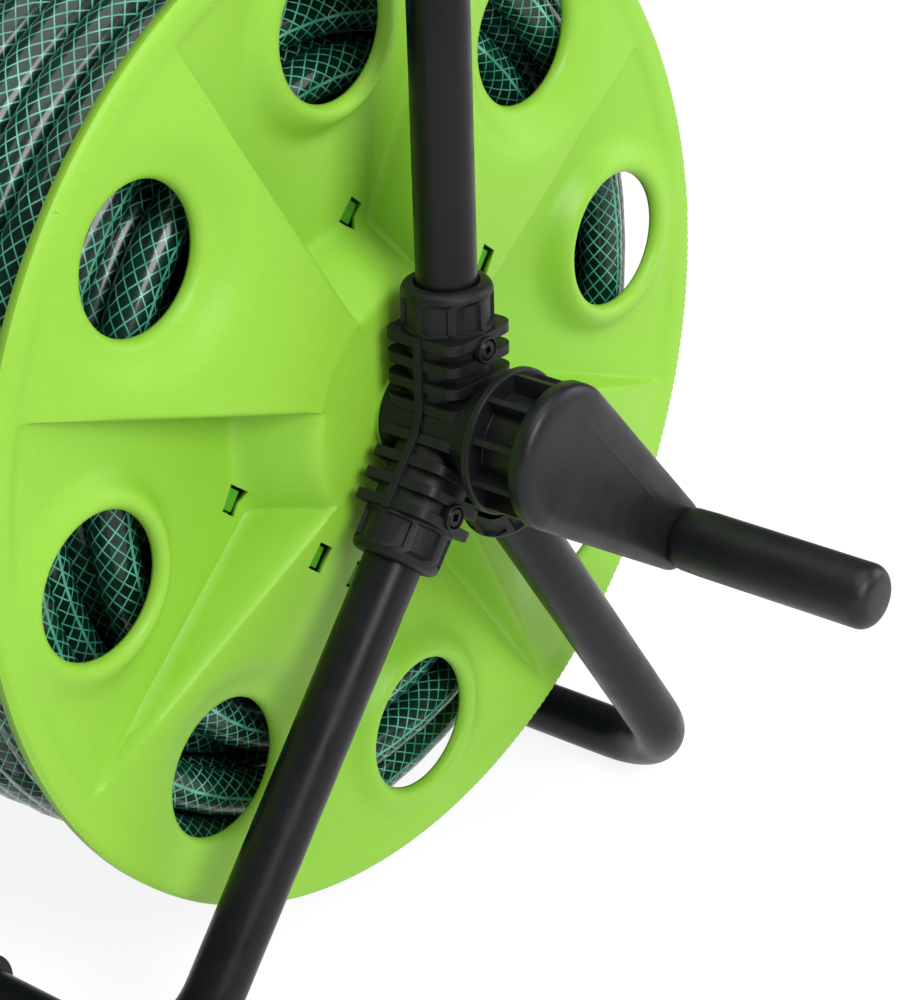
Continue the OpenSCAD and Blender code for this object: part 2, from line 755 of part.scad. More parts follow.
handle_tube();
handle_sleeve();
front_foot_tube();
rear_foot_tube();
hub_housing_crank_side();
hub_housing_inlet_side();
housing_screws();
crank_side_bush();
inlet_side_bush();
axle_bracket_left();
axle_bracket_right();
bracket_bolts();
wheel_axle();
axle_washers();
axle_caps();
crank_side_flange();
inlet_side_flange();
drum_panel_1();
drum_panel_2();
thrust_washers();
crank_shaft();
crank_arm();
crank_lock_pin();
grip_pin();
grip_sleeve();
grip_retaining_clip();
grip_end_cap();
water_spindle();
spindle_o_rings();
spindle_clip();
outlet_elbow();
hose_clamp();
inlet_elbow();
inlet_washer();
inlet_nipple();
hose_coil();
connector_tail();
connector_nut();
connector_body();
connector_collar();
connector_seal();
wheel_left();
wheel_right();
tyre_left();
tyre_right();
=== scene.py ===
"""Looks of the garden hose reel cart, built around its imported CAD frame.

Shapes are drawn in the reel frame, in millimetres: u fore-aft, v up and w along the reel's axle,
with the origin on the axle in the middle of the reel. Directions are degrees from +u towards +v.
"""
import math
import random

import bpy
import bmesh
from mathutils import Matrix, Vector
from mathutils.geometry import delaunay_2d_cdt


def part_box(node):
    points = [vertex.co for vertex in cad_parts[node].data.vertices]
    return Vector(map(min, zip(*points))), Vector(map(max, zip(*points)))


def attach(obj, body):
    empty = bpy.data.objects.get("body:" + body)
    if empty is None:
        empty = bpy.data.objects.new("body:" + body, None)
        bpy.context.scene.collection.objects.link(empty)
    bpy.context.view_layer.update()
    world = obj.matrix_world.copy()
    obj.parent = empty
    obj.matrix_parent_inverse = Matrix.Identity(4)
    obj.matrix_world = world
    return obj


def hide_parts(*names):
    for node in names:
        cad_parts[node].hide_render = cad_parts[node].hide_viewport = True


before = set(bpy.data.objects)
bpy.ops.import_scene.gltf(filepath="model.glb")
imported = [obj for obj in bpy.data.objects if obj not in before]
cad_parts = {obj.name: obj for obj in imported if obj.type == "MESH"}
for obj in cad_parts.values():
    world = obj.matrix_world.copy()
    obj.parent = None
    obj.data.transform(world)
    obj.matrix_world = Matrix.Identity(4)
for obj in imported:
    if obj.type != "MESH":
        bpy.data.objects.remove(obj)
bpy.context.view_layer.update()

MM = 0.001
random.seed(7)

# Reel frame, from the boxes of the two flanges
crank_flange_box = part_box("crank_side_flange")
inlet_flange_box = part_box("inlet_side_flange")
REEL = Vector((
    (crank_flange_box[1].x + inlet_flange_box[0].x) / 2,
    (crank_flange_box[0].y + crank_flange_box[1].y) / 2,
    (crank_flange_box[0].z + crank_flange_box[1].z) / 2,
))
HUB_FACE_W = (crank_flange_box[1].x - REEL.x) / MM
FLANGE_R = (crank_flange_box[1].y - REEL.y) / MM
HUB_RISE = 11.5
RIM_W = HUB_FACE_W - HUB_RISE

# Flange
HUB_EDGE_R, HUB_FOOT_R, HOLE_R = 48, 64, 9
RIM_R = FLANGE_R - 11
BOSS_R, BOSS_LEN = 17, 26
FLOOR_W, FLOOR_RIM_W = RIM_W - 16, RIM_W - 1.4
RAISED_RIM_W = RIM_W - 0.8
SECTOR_DIR, SECTOR_HALF = 53.8, 21
WINDOW_R, WINDOW_PITCH_R = 27, 146
COLLAR_W, DIMPLE_W, WINDOW_ROUNDING = RIM_W + 0.5, RIM_W - 1.5, 4.0
SLOT_ALONG, SLOT_ACROSS = 10.3, 7.5
RIM_TURN_IN, WINDOW_TURN_IN, SLOT_TURN_IN = 3.6, 1.0, 2.0
DRAFT = math.tan(math.radians(14))
SKIN = 2.4

# Housings and tubes
LEG_W = 152
HANDLE_DIR, FRONT_DIR, REAR_DIR = 92.4, -53, -127
BARREL_R, BUSH_R = 19, 13
HOUSING_IN_W, HOUSING_OUT_W = HUB_FACE_W + 1.9, LEG_W + 24
SOCKET_R, SOCKET_LEN, COLLAR_R, COLLAR_END = 15.5, 38.5, 16.6, 55
FIN_HALF, FIN_T, FIN_FIRST, FIN_PITCH, FINS = 17, 3.8, 11.5, 8.3, 4
RIB_HALF, RIB_REACH = 1.6, 24
SCREW_AT, SCREW_FACE_W = 32.5, LEG_W + 18.5
SCREW_HOLE_R, SCREW_BOSS_R, SCREW_TURN = 3.95, 5, 20
TUBE_R = 11

# Crank
CRANK_DIR, CRANK_R = -37.4, 97
CRANK_DISC_R, CRANK_SPOOL_R, ARM_END_R = 27, 19, 14
CRANK_IN_W, CRANK_OUT_W = HOUSING_OUT_W + 2, HOUSING_OUT_W + 23
CRANK_DISC_T, CRANK_RIBS, CRANK_RIB_HALF = 3.5, 10, 1.2
GRIP_START_W, GRIP_END_W, GRIP_R = RIM_W + 82, RIM_W + 168.4, 12.5

# Hose and its connector
HOSE_D, HOSE_LENGTH = 17.5, 50.0
DRUM_R, LAYER_STEP = 82, 19
OUTLET_DIR, OUTLET_R, OUTLET_W = 262, 56, -88.5
END_DIR, END_R, END_W = 62, 180.6, -82

# Wheels
AXLE_U, AXLE_V, WHEEL_W = -258, -164.25, 109
WHEEL_R, TYRE_HALF, WHEEL_HUB_HALF, AXLE_R = 52, 13, 15, 5
TYRE_SEAT_R = WHEEL_R - 9
WHEEL_RIBS, TREAD_BLOCKS = 6, 36


def row(point):
    """A point of the reel frame, in the row frame and in metres."""
    u, v, w = point
    return REEL + Vector((w, u, v)) * MM


def polar(r, direction, w=0.0):
    a = math.radians(direction)
    return Vector((r * math.cos(a), r * math.sin(a), w))


def srgb(red, green, blue):
    """A colour from 0 to 255 per channel, as the linear colour that shaders take."""
    def linear(c):
        c /= 255
        return c / 12.92 if c <= 0.04045 else ((c + 0.055) / 1.055) ** 2.4
    return (linear(red), linear(green), linear(blue), 1)


def smooth(x, low=0.0, high=1.0):
    t = min(1.0, max(0.0, (x - low) / (high - low)))
    return t * t * (3 - 2 * t)


def mix(a, b, t):
    return a + (b - a) * t


# ---- placing matrices ----

def turn(axis, degrees):
    return Matrix.Rotation(math.radians(degrees), 4, axis)


def shift(u, v, w):
    return Matrix.Translation((u, v, w))


def spoke(direction, w=0.0):
    """Local z points along direction in the u-v plane at w, and local x along -w."""
    return shift(0, 0, w) @ turn("Z", direction) @ turn("Y", 90)


MIRROR = Matrix.Diagonal((1, 1, -1, 1))
SIDES = (Matrix.Identity(4), MIRROR)


# ---- shapes ----

class Shape:
    """Collects the parts of one piece as vertices and faces in the reel frame."""

    def __init__(self):
        self.verts, self.faces = [], []

    def add(self, part, place=None):
        verts, faces = part
        place = place or Matrix.Identity(4)
        base, flip = len(self.verts), place.determinant() < 0
        self.verts += [place @ Vector(v) for v in verts]
        self.faces += [[base + i for i in (reversed(f) if flip else f)] for f in faces]
        return self

    def piece(self, name, material, body, stands_for=(), slot=None, bevel=0.0, crease=38, solid=0.0):
        """Makes the Blender object, with rounded edges or a wall thickness where they are given."""
        mesh = bpy.data.meshes.new(name)
        mesh.from_pydata([row(v) for v in self.verts], [], self.faces)
        work = bmesh.new()
        work.from_mesh(mesh)
        bmesh.ops.remove_doubles(work, verts=work.verts, dist=0.00002)
        work.to_mesh(mesh)
        work.free()
        made = bpy.data.objects.new(name, mesh)
        bpy.context.scene.collection.objects.link(made)
        mesh.materials.append(material)
        mesh.shade_smooth()
        mesh.set_sharp_from_angle(angle=math.radians(crease))
        if solid:
            wall = made.modifiers.new("wall", "SOLIDIFY")
            wall.thickness, wall.offset = solid * MM, -1
        if bevel:
            edges = made.modifiers.new("edges", "BEVEL")
            edges.width, edges.segments = bevel * MM, 3
            edges.limit_method, edges.angle_limit = "ANGLE", math.radians(crease)
            edges.harden_normals = True
        if stands_for:
            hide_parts(*stands_for)
        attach(made, body)
        return made


def lathe(profile, n=72, closed=False, first=0.0, sweep=360.0):
    """A profile of (radius, height) points turned about local z; open ends are capped."""
    full = sweep >= 360
    count = n if full else n + 1
    verts = []
    for r, z in profile:
        for i in range(count):
            a = math.radians(first + sweep * i / n)
            verts.append((r * math.cos(a), r * math.sin(a), z))
    faces = []
    rows = len(profile)
    for k in range(rows if closed else rows - 1):
        low, high = k * count, ((k + 1) % rows) * count
        for i in range(n):
            j = (i + 1) % count
            faces.append((low + i, low + j, high + j, high + i))
    if not closed:
        faces.append(tuple(reversed(range(count))))
        faces.append(tuple(range((rows - 1) * count, rows * count)))
    return verts, faces


def prism(outline, z0, z1):
    n = len(outline)
    verts = [(x, y, z) for z in (z0, z1) for x, y in outline]
    faces = [(i, (i + 1) % n, n + (i + 1) % n, n + i) for i in range(n)]
    faces += [tuple(reversed(range(n))), tuple(range(n, 2 * n))]
    return verts, faces


def block(x0, x1, y0, y1, z0, z1):
    return prism([(x0, y0), (x1, y0), (x1, y1), (x0, y1)], z0, z1)


def wrapped(rows, n, closed=False):
    """Faces between rows of n points, each a closed outline; closed joins the last row to the first."""
    return [
        (k * n + i, k * n + (i + 1) % n, (k + 1) % rows * n + (i + 1) % n, (k + 1) % rows * n + i)
        for k in range(rows if closed else rows - 1) for i in range(n)
    ]


def rounded_square(half, corner, n=6):
    straight = half - corner
    points = []
    for k, (sx, sy) in enumerate(((1, 1), (-1, 1), (-1, -1), (1, -1))):
        for i in range(n + 1):
            a = math.radians(90 * k + 90 * i / n)
            points.append((sx * straight + corner * math.cos(a), sy * straight + corner * math.sin(a)))
    return points


def cog(r_high, r_low, teeth, share, n=4):
    """Outline with raised teeth that take that share of each pitch."""
    flank = 0.04
    spans = ((r_high, -share / 2, share / 2), (r_low, share / 2 + flank, 1 - share / 2 - flank))
    points = []
    for k in range(teeth):
        for r, start, stop in spans:
            for i in range(n + 1):
                a = 2 * math.pi * (k + start + (stop - start) * i / n) / teeth
                points.append((r * math.cos(a), r * math.sin(a)))
    return points


def arc(cx, cz, r, a0, a1, n=5):
    """Points of a profile along an arc."""
    angles = [math.radians(mix(a0, a1, i / n)) for i in range(n + 1)]
    return [(cx + r * math.cos(a), cz + r * math.sin(a)) for a in angles]


# ---- materials ----

class Nodes:
    """A material's node tree, with short calls for what the materials here share."""

    def __init__(self, name):
        self.material = bpy.data.materials.new(name)
        self.material.use_nodes = True
        self.tree = self.material.node_tree
        self.shader = next(n for n in self.tree.nodes if n.type == "BSDF_PRINCIPLED")
        self.place = self.new("ShaderNodeTexCoord")

    def new(self, kind, **settings):
        made = self.tree.nodes.new(kind)
        for key, value in settings.items():
            setattr(made, key, value)
        return made

    def link(self, output, target):
        self.tree.links.new(output, target)

    def value(self, socket, value):
        self.shader.inputs[socket].default_value = value

    def noise(self, scale, detail=3.0, stretch=None):
        texture = self.new("ShaderNodeTexNoise")
        texture.inputs["Scale"].default_value = scale
        texture.inputs["Detail"].default_value = detail
        source = self.place.outputs["Object"]
        if stretch:
            mapping = self.new("ShaderNodeMapping")
            mapping.inputs["Scale"].default_value = stretch
            self.link(source, mapping.inputs["Vector"])
            source = mapping.outputs["Vector"]
        self.link(source, texture.inputs["Vector"])
        return texture.outputs["Fac"]

    def math(self, operation, a, b=None):
        made = self.new("ShaderNodeMath", operation=operation)
        for socket, given in zip(made.inputs, (a, b)):
            if given is None:
                continue
            if isinstance(given, (int, float)):
                socket.default_value = given
            else:
                self.link(given, socket)
        return made.outputs[0]

    def span(self, factor, low, high, to_low=0.0, to_high=1.0):
        made = self.new("ShaderNodeMapRange")
        for key, given in (("From Min", low), ("From Max", high), ("To Min", to_low), ("To Max", to_high)):
            made.inputs[key].default_value = given
        self.link(factor, made.inputs["Value"])
        return made.outputs["Result"]

    def blend(self, factor, low, high):
        """Mixes two colours, each a fixed colour or a socket."""
        made = self.new("ShaderNodeMix", data_type="RGBA")
        self.link(factor, made.inputs[0])
        for socket, given in zip(made.inputs[6:8], (low, high)):
            if isinstance(given, tuple):
                socket.default_value = given
            else:
                self.link(given, socket)
        return made.outputs[2]

    def bump(self, height, strength, distance):
        made = self.new("ShaderNodeBump")
        made.inputs["Strength"].default_value = strength
        made.inputs["Distance"].default_value = distance
        self.link(height, made.inputs["Height"])
        self.link(made.outputs["Normal"], self.shader.inputs["Normal"])


def moulded(name, dark, light, rough, rough_spread=0.08, cloud=9.0, grain=1500.0, relief=0.12,
            metallic=0.0, specular=0.5, glow=0.0, stretch=None):
    """Plastic, paint, rubber or metal: clouded colour, uneven gloss and a fine grain."""
    made = Nodes(name)
    clouds = made.noise(cloud, 4.0)
    fine = made.noise(grain, 2.0, stretch)
    both = made.math("MULTIPLY_ADD", fine, 0.35)
    made.link(clouds, both.node.inputs[2])
    made.link(made.blend(made.span(both, 0.5, 0.85), dark, light), made.shader.inputs["Base Color"])
    smears = made.noise(cloud * 5, 5.0)
    made.link(
        made.span(smears, 0.3, 0.7, rough - rough_spread, rough + rough_spread),
        made.shader.inputs["Roughness"],
    )
    made.value("Metallic", metallic)
    made.value("Emission Strength", glow)
    made.value("Specular IOR Level", specular)
    made.bump(fine, relief, 0.0002)
    return made.material


NET_THREADS, NET_PITCH, NET_HALF_WIDTH = 10.0, 0.0067, 0.06
LENGTHWISE_THREADS, LENGTHWISE_HALF_WIDTH = 2.0, 0.02


def hose_skin(name):
    """Clear glossy skin over a green core, with a net of pale threads between them."""
    made = Nodes(name)
    uv = made.new("ShaderNodeSeparateXYZ")
    made.link(made.place.outputs["UV"], uv.inputs[0])
    around = made.math("MULTIPLY", uv.outputs["X"], NET_THREADS)
    along = made.math("MULTIPLY", uv.outputs["Y"], 1 / NET_PITCH)

    def thread(position, half_width):
        distance = made.math("ABSOLUTE", made.math("SUBTRACT", made.math("FRACT", position), 0.5))
        return made.span(distance, 0.5 - half_width * 1.35, 0.5 - half_width * 0.65)

    left = thread(made.math("ADD", around, along), NET_HALF_WIDTH)
    right = thread(made.math("SUBTRACT", around, along), NET_HALF_WIDTH)
    lengthwise = made.math("MULTIPLY", uv.outputs["X"], LENGTHWISE_THREADS)
    straight = thread(lengthwise, LENGTHWISE_HALF_WIDTH)
    net = made.math("MAXIMUM", made.math("MAXIMUM", left, right), straight)
    core = made.blend(made.span(made.noise(55.0, 2.0), 0.35, 0.65), srgb(0, 28, 17), srgb(10, 42, 32))
    threads = made.blend(made.span(made.noise(90.0, 1.0), 0.3, 0.7), srgb(40, 126, 96), srgb(104, 186, 160))
    made.link(made.blend(net, core, threads), made.shader.inputs["Base Color"])
    made.link(made.span(made.noise(120.0, 3.0), 0.3, 0.7, 0.22, 0.34), made.shader.inputs["Roughness"])
    made.value("Specular IOR Level", 0.25)
    made.value("Coat Weight", 0.3)
    made.value("Coat Roughness", 0.06)
    made.value("Coat IOR", 1.5)
    made.bump(net, 0.12, 0.0002)
    return made.material


FLANGE_GREEN = moulded("flange_green_plastic", srgb(126, 180, 46), srgb(136, 190, 56), 0.45,
                       cloud=5.0, grain=900.0, relief=0.04, specular=0.35)
DRUM_GREEN = moulded("drum_green_plastic", srgb(60, 140, 14), srgb(76, 156, 24), 0.45, cloud=7.0)
HOUSING_BLACK = moulded("housing_black_plastic", srgb(15, 16, 17), srgb(24, 25, 26), 0.46, cloud=20.0,
                        relief=0.08, specular=0.22)
CRANK_BLACK = moulded("crank_black_plastic", srgb(17, 17, 20), srgb(26, 26, 30), 0.4, cloud=14.0, relief=0.05,
                      specular=0.28)
TUBE_PAINT = moulded("tube_black_paint", srgb(13, 13, 15), srgb(20, 20, 23), 0.34, cloud=16.0, grain=700.0,
                     relief=0.06, specular=0.2)
FOAM_BLACK = moulded("grip_foam", srgb(12, 12, 13), srgb(24, 24, 26), 0.85, cloud=60.0, grain=520.0,
                     relief=0.6, specular=0.25)
BUSH_WHITE = moulded("bush_white_plastic", srgb(158, 166, 148), srgb(176, 184, 166), 0.45)
STEEL = moulded("bright_steel", srgb(150, 152, 156), srgb(190, 192, 196), 0.28, metallic=1.0, grain=600.0,
                stretch=(1, 14, 14))
SCREW_BLACK = moulded("screw_black_steel", srgb(14, 14, 15), srgb(34, 34, 37), 0.3, metallic=0.7)
SEAL_RUBBER = moulded("seal_rubber", srgb(12, 12, 12), srgb(24, 24, 24), 0.7)
TYRE_RUBBER = moulded("tyre_rubber", srgb(16, 16, 17), srgb(30, 30, 31), 0.72, cloud=30.0,
                      grain=900.0, relief=0.35)
ORANGE = moulded("fitting_orange_plastic", srgb(226, 92, 10), srgb(242, 116, 26), 0.36, cloud=30.0)
HOSE_SKIN = hose_skin("hose_net")

CAD_FINISHES = {
    TUBE_PAINT: ("handle_tube", "front_foot_tube", "rear_foot_tube"),
    FOAM_BLACK: ("handle_sleeve",),
    BUSH_WHITE: ("crank_side_bush", "inlet_side_bush"),
    FLANGE_GREEN: ("thrust_washers",),
    HOUSING_BLACK: ("axle_bracket_left", "axle_bracket_right", "axle_caps", "water_spindle", "outlet_elbow",
                    "inlet_elbow", "connector_tail"),
    STEEL: ("bracket_bolts", "wheel_axle", "axle_washers", "crank_shaft", "crank_lock_pin", "grip_pin",
            "grip_retaining_clip", "spindle_clip", "hose_clamp"),
    DRUM_GREEN: ("drum_panel_1", "drum_panel_2"),
    SEAL_RUBBER: ("spindle_o_rings", "inlet_washer", "connector_seal"),
}
for finish, names in CAD_FINISHES.items():
    for node_name in names:
        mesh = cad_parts[node_name].data
        mesh.materials.clear()
        mesh.materials.append(finish)


# ---- camera ----

CAMERA_FROM_RIM = Vector((669.0, -779.2, 423.0)) * MM
VIEW_DIRECTION = Vector((-0.574125, 0.708044, -0.411161))
LENS, SENSOR_WIDTH = 109.15, 36

camera = bpy.data.objects.new("camera", bpy.data.cameras.new("camera"))
bpy.context.scene.collection.objects.link(camera)
camera.location = row((0, 0, RIM_W)) + CAMERA_FROM_RIM
camera.rotation_euler = VIEW_DIRECTION.to_track_quat("-Z", "Y").to_euler()
camera.data.lens, camera.data.sensor_width = LENS, SENSOR_WIDTH
camera.data.clip_start, camera.data.clip_end = 0.05, 50
bpy.context.scene.camera = camera


# ---- hose ----

TURN_STEP = 6.0
LAYERS = (  # start and end along the axle, turns
    (-88.5, 93.5, 10.2),
    (95.5, -71.0, 9.3),
    (-97.0, 99.0, 10.95),
    (100.0, -99.5, 11.15),
    (-101.0, 102.5, 11.4),
    (104.5, -62.0, 9.3),
)
LEAD_BEND_R, LEAD_TOP_R = 70, 100
HOSE_SIDES = 16
# How far the turns wander: sideways in an inner and in the last layer, outwards, and the last layer's crown
SIDE_WANDER, LAST_SIDE_WANDER, OUT_WANDER, LAST_CROWN = 1.4, 3.2, 0.7, 2.4
# Degrees over which a layer climbs on to the one below
FIRST_CLIMB, CLIMB, LEAST_RISE = 200.0, 110.0, 100


def hose_lead():
    """From the outlet's barb through the drum's notch, on one bend, to the top of the first turn."""
    turn_x = OUTLET_R - LEAD_BEND_R
    turn_y = math.sqrt((LEAD_TOP_R - LEAD_BEND_R) ** 2 - turn_x ** 2)
    last = math.degrees(math.atan2(turn_y, turn_x))
    flat = [(OUTLET_R, y) for y in (8, 13, 18, 23)]
    steps = int(last / 4)
    for i in range(steps):
        a = math.radians(last * i / steps)
        flat.append((turn_x + LEAD_BEND_R * math.cos(a), turn_y + LEAD_BEND_R * math.sin(a)))
    place = shift(0, 0, OUTLET_W) @ turn("Z", OUTLET_DIR)
    return [place @ Vector((x, y, 0)) for x, y in flat], OUTLET_DIR + last


def hose_path():
    """The hose's centreline: the lead, the layers on the drum, and up to the connector's tail."""
    points, angle = hose_lead()
    r_from, w_from = LEAD_TOP_R, OUTLET_W
    for k, (w_start, w_end, turns) in enumerate(LAYERS):
        r_layer = DRUM_R + LAYER_STEP * k
        is_last = k == len(LAYERS) - 1
        tilt = LAST_SIDE_WANDER if is_last else SIDE_WANDER
        phases = [random.uniform(0, 2 * math.pi) for _ in range(3)]
        steps = round(turns * 360 / TURN_STEP)
        climb = FIRST_CLIMB if k == 0 else CLIMB
        for i in range(steps):
            done = i / steps
            here = math.radians(angle + i * TURN_STEP)
            settle = smooth(i * TURN_STEP, 0, climb)
            slack = math.sin(math.pi * done) ** 0.6
            w = mix(w_from + (w_end - w_start) * done, mix(w_start, w_end, done), settle)
            w += slack * tilt * (math.sin(here + phases[0]) + 0.45 * math.sin(2 * here + phases[1]))
            r = mix(r_from, r_layer, settle) + slack * OUT_WANDER * math.sin(3 * here + phases[2])
            r += LAST_CROWN * slack if is_last else 0
            points.append(polar(r, angle + i * TURN_STEP, w))
        angle += steps * TURN_STEP
        r_from, w_from = r_layer, w_end
    left = (END_DIR - angle) % 360
    if left < LEAST_RISE:
        left += 360
    steps = round(left / TURN_STEP)
    for i in range(steps):
        rise = smooth(i / steps)
        points.append(polar(mix(r_from, END_R, rise), angle + left * i / steps, mix(w_from, END_W, rise)))
    end_place = shift(0, 0, END_W) @ turn("Z", END_DIR)
    points += [end_place @ Vector((END_R, y, 0)) for y in (0, 8)]
    return points


def tube_piece(name, path, radius, sides, material, body, **facts):
    """A closed tube along a path, with UVs of turns around and metres along."""
    verts, lengths, length = [], [], 0.0
    for i, p in enumerate(path):
        before, after = path[max(i - 1, 0)], path[min(i + 1, len(path) - 1)]
        along = (after - before).normalized()
        across = (Vector((0, 0, 1)) - along * along.z).normalized()
        out = along.cross(across)
        length += (p - before).length * MM
        lengths.append(length)
        for j in range(sides):
            a = 2 * math.pi * j / sides
            verts.append(p + (across * math.cos(a) + out * math.sin(a)) * radius)
    shape = Shape()
    shape.verts = verts
    shape.faces = wrapped(len(path), sides)
    shape.faces += [tuple(reversed(range(sides))), tuple(range((len(path) - 1) * sides, len(path) * sides))]
    made = shape.piece(name, material, body, crease=60, **facts)
    layer = made.data.uv_layers.new(name="turns_and_metres")
    for face in made.data.polygons:
        wraps = {made.data.loops[c].vertex_index % sides for c in face.loop_indices}
        for c in face.loop_indices:
            index = made.data.loops[c].vertex_index
            j = index % sides
            if j == 0 and sides - 1 in wraps:
                j = sides
            layer.data[c].uv = (j / sides, lengths[index // sides])
    return made


path = hose_path()
hose = tube_piece("hose", path, HOSE_D / 2, HOSE_SIDES, HOSE_SKIN, "reel",
                  stands_for=("hose_coil",), slot="hose_green")


# ---- flanges ----

def filleted_ramp(x, edge):
    """0 below 0 and 1 above 1, straight between, with both corners rounded over edge."""
    def area(t):
        return 0.0 if t < 0 else t * t / 2 if t < 1 else t - 0.5
    return (area(x + edge) - area(x - edge)) / (2 * edge)


def raised_height(r):
    outward = max(0.0, r - HUB_EDGE_R)
    ridge = 0.22 * math.exp(-((r - HUB_EDGE_R - 0.4) / 0.9) ** 2)
    return HUB_FACE_W - outward * (HUB_FACE_W - RAISED_RIM_W) / (RIM_R - HUB_EDGE_R) + ridge


def recess_height(r):
    floor = FLOOR_W + max(0.0, r - HUB_FOOT_R) * (FLOOR_RIM_W - FLOOR_W) / (RIM_R - HUB_FOOT_R)
    wall = filleted_ramp((r - HUB_EDGE_R) / (HUB_FOOT_R - HUB_EDGE_R), 0.16)
    return mix(HUB_FACE_W, floor, wall)


def rim_height(r):
    """The rounded lip band that both levels run into."""
    lip = RIM_W - 1.6 * smooth(r, FLANGE_R - 2.4, FLANGE_R) ** 2
    return lip - 0.5 * math.exp(-((r - RIM_R - 0.5) / 0.9) ** 2)


def wall_run(r):
    return max(0.8, (raised_height(r) - recess_height(r)) * DRAFT)


def rounded_hole(d):
    """How far the surface has rolled down at distance d from a window's middle."""
    t = min(1.0, max(0.0, (WINDOW_R + WINDOW_ROUNDING - d) / WINDOW_ROUNDING))
    return WINDOW_ROUNDING * (1 - math.sqrt(1 - t * t))


def flange_height(x, y):
    """Height of the front surface, which repeats in each quarter round its raised sector."""
    r = math.hypot(x, y)
    a = abs((math.degrees(math.atan2(y, x)) + 45) % 90 - 45)
    place = polar(r, a)
    high, low = raised_height(r), recess_height(r)
    d = (place - polar(WINDOW_PITCH_R, 0)).length
    dip = (1 - smooth(d, WINDOW_R + 1.2, WINDOW_R + 20)) * (1 - smooth(r, RIM_R - 9, RIM_R))
    high = mix(high, DIMPLE_W, dip) - rounded_hole(d)
    d = (place - polar(WINDOW_PITCH_R, 45)).length
    low = mix(low, COLLAR_W, 1 - smooth(d, WINDOW_R + 3.2, WINDOW_R + 15)) - rounded_hole(d)
    run = wall_run(r)
    past = r * math.sin(math.radians(a - SECTOR_HALF))
    step = filleted_ramp(past / run, min(0.45, 1.1 / run))
    return mix(mix(high, low, step), rim_height(r), smooth(r, RIM_R - 2.5, RIM_R + 1.5))


# Slots for the snaps of the two drum halves, as places along and across a half's direction
SNAP_PLACES = ((62.9, 12.3), (56.1, 39.7))
SLOTS = [(sign * x, side * y) for sign in (1, -1) for side in (1, -1) for x, y in SNAP_PLACES]
WINDOWS = [polar(WINDOW_PITCH_R, 45 * k) for k in range(8)]
# Rows along a sector's wall: offset, share of the wall's run, and the least run that has the row
WALL_ROWS = (
    (-2.4, 0, 0), (-1.1, 0, 0), (-0.4, 0, 0), (0.4, 0, 1.2), (1.1, 0, 3), (0, 0.5, 1.6),
    (-0.9, 1, 3), (0, 1, 0), (1.1, 1, 0), (2.2, 1, 0),
)
WALL_FROM, WALL_TO = 47, 183.5
# Rings of points: close together at the hub's slope and at the rim, and even between them
HUB_RINGS = [HOLE_R, 13, 18, 24, 30, 36, 41, 44.5, 46.5, 47.4, 48.2, 49, 50, 51.5, 53, 56, 59, 61.5, 63,
             64.5, 66.5]
RIM_RINGS = [182, 183, 184, 185, 186.5, 188.5, 191, 192.6, 193.6, 194.4, 194.85, FLANGE_R]
WINDOW_RINGS = (0, 0.12, 0.4, 0.9, 1.6, 2.6, 4.0, 5.6, 7.6, 9.8, 12.2, 15.2, 18.4)
FIRST_EVEN_RING, RING_STEP = 70.0, 4.2
FINE_SPACING, EVEN_SPACING = 3.2, 4.6


def ring_radii():
    radii = list(HUB_RINGS)
    r = FIRST_EVEN_RING
    while r < RIM_R - 3:
        radii.append(r)
        r += RING_STEP
    return radii + RIM_RINGS


def slot_outline(x, y):
    corners = ((-1, -1), (0, -1), (1, -1), (1, 0), (1, 1), (0, 1), (-1, 1), (-1, 0))
    return [Vector((x + SLOT_ALONG / 2 * i, y + SLOT_ACROSS / 2 * j)) for i, j in corners]


def wall_rows(radii):
    """Lines of points along both edges of every sector's wall."""
    for base, share, least_run in WALL_ROWS:
        rows = [r for r in radii if WALL_FROM < r < WALL_TO and wall_run(r) >= least_run]
        offsets = [math.degrees(math.asin((base + share * wall_run(r)) / r)) for r in rows]
        for k in range(4):
            for side in (1, -1):
                yield [polar(r, 90 * k + side * (SECTOR_HALF + out)).xy for r, out in zip(rows, offsets)]


def is_open_ground(p):
    """True where no feature brings its own points."""
    r = p.length
    if any((p - c.xy).length < WINDOW_R + 20 for c in WINDOWS):
        return False
    if any(abs(p.x - x) < SLOT_ALONG / 2 + 1.2 and abs(p.y - y) < SLOT_ACROSS / 2 + 1.2 for x, y in SLOTS):
        return False
    a = abs((math.degrees(math.atan2(p.y, p.x)) + 45) % 90 - 45)
    past = r * math.sin(math.radians(a - SECTOR_HALF))
    return not (WALL_FROM < r < WALL_TO and -3.3 < past < wall_run(r) + 3)


def flange_points():
    """Points and fixed edges of a flange's front, in rows that follow its features."""
    points, edges = [], []

    def chain(line, closed=False):
        start = len(points)
        points.extend(line)
        edges.extend((start + i, start + i + 1) for i in range(len(line) - 1))
        if closed:
            edges.append((start + len(line) - 1, start))

    radii = ring_radii()
    for line in wall_rows(radii):
        chain(line)
    for centre in WINDOWS:
        for d in WINDOW_RINGS:
            n = 84 if d < 3 else 64
            chain([centre.xy + polar(WINDOW_R + d, 360 * i / n).xy for i in range(n)], d == 0)
    for place in SLOTS:
        chain(slot_outline(*place), True)
    for r in radii:
        is_fine = r < FIRST_EVEN_RING or r >= RIM_RINGS[0]
        n = max(24, round(2 * math.pi * r / (FINE_SPACING if is_fine else EVEN_SPACING)))
        ring = [polar(r, 360 * i / n).xy for i in range(n)]
        if r in (HOLE_R, FLANGE_R):
            chain(ring, True)
        else:
            points.extend(p for p in ring if is_open_ground(p))
    return points, edges


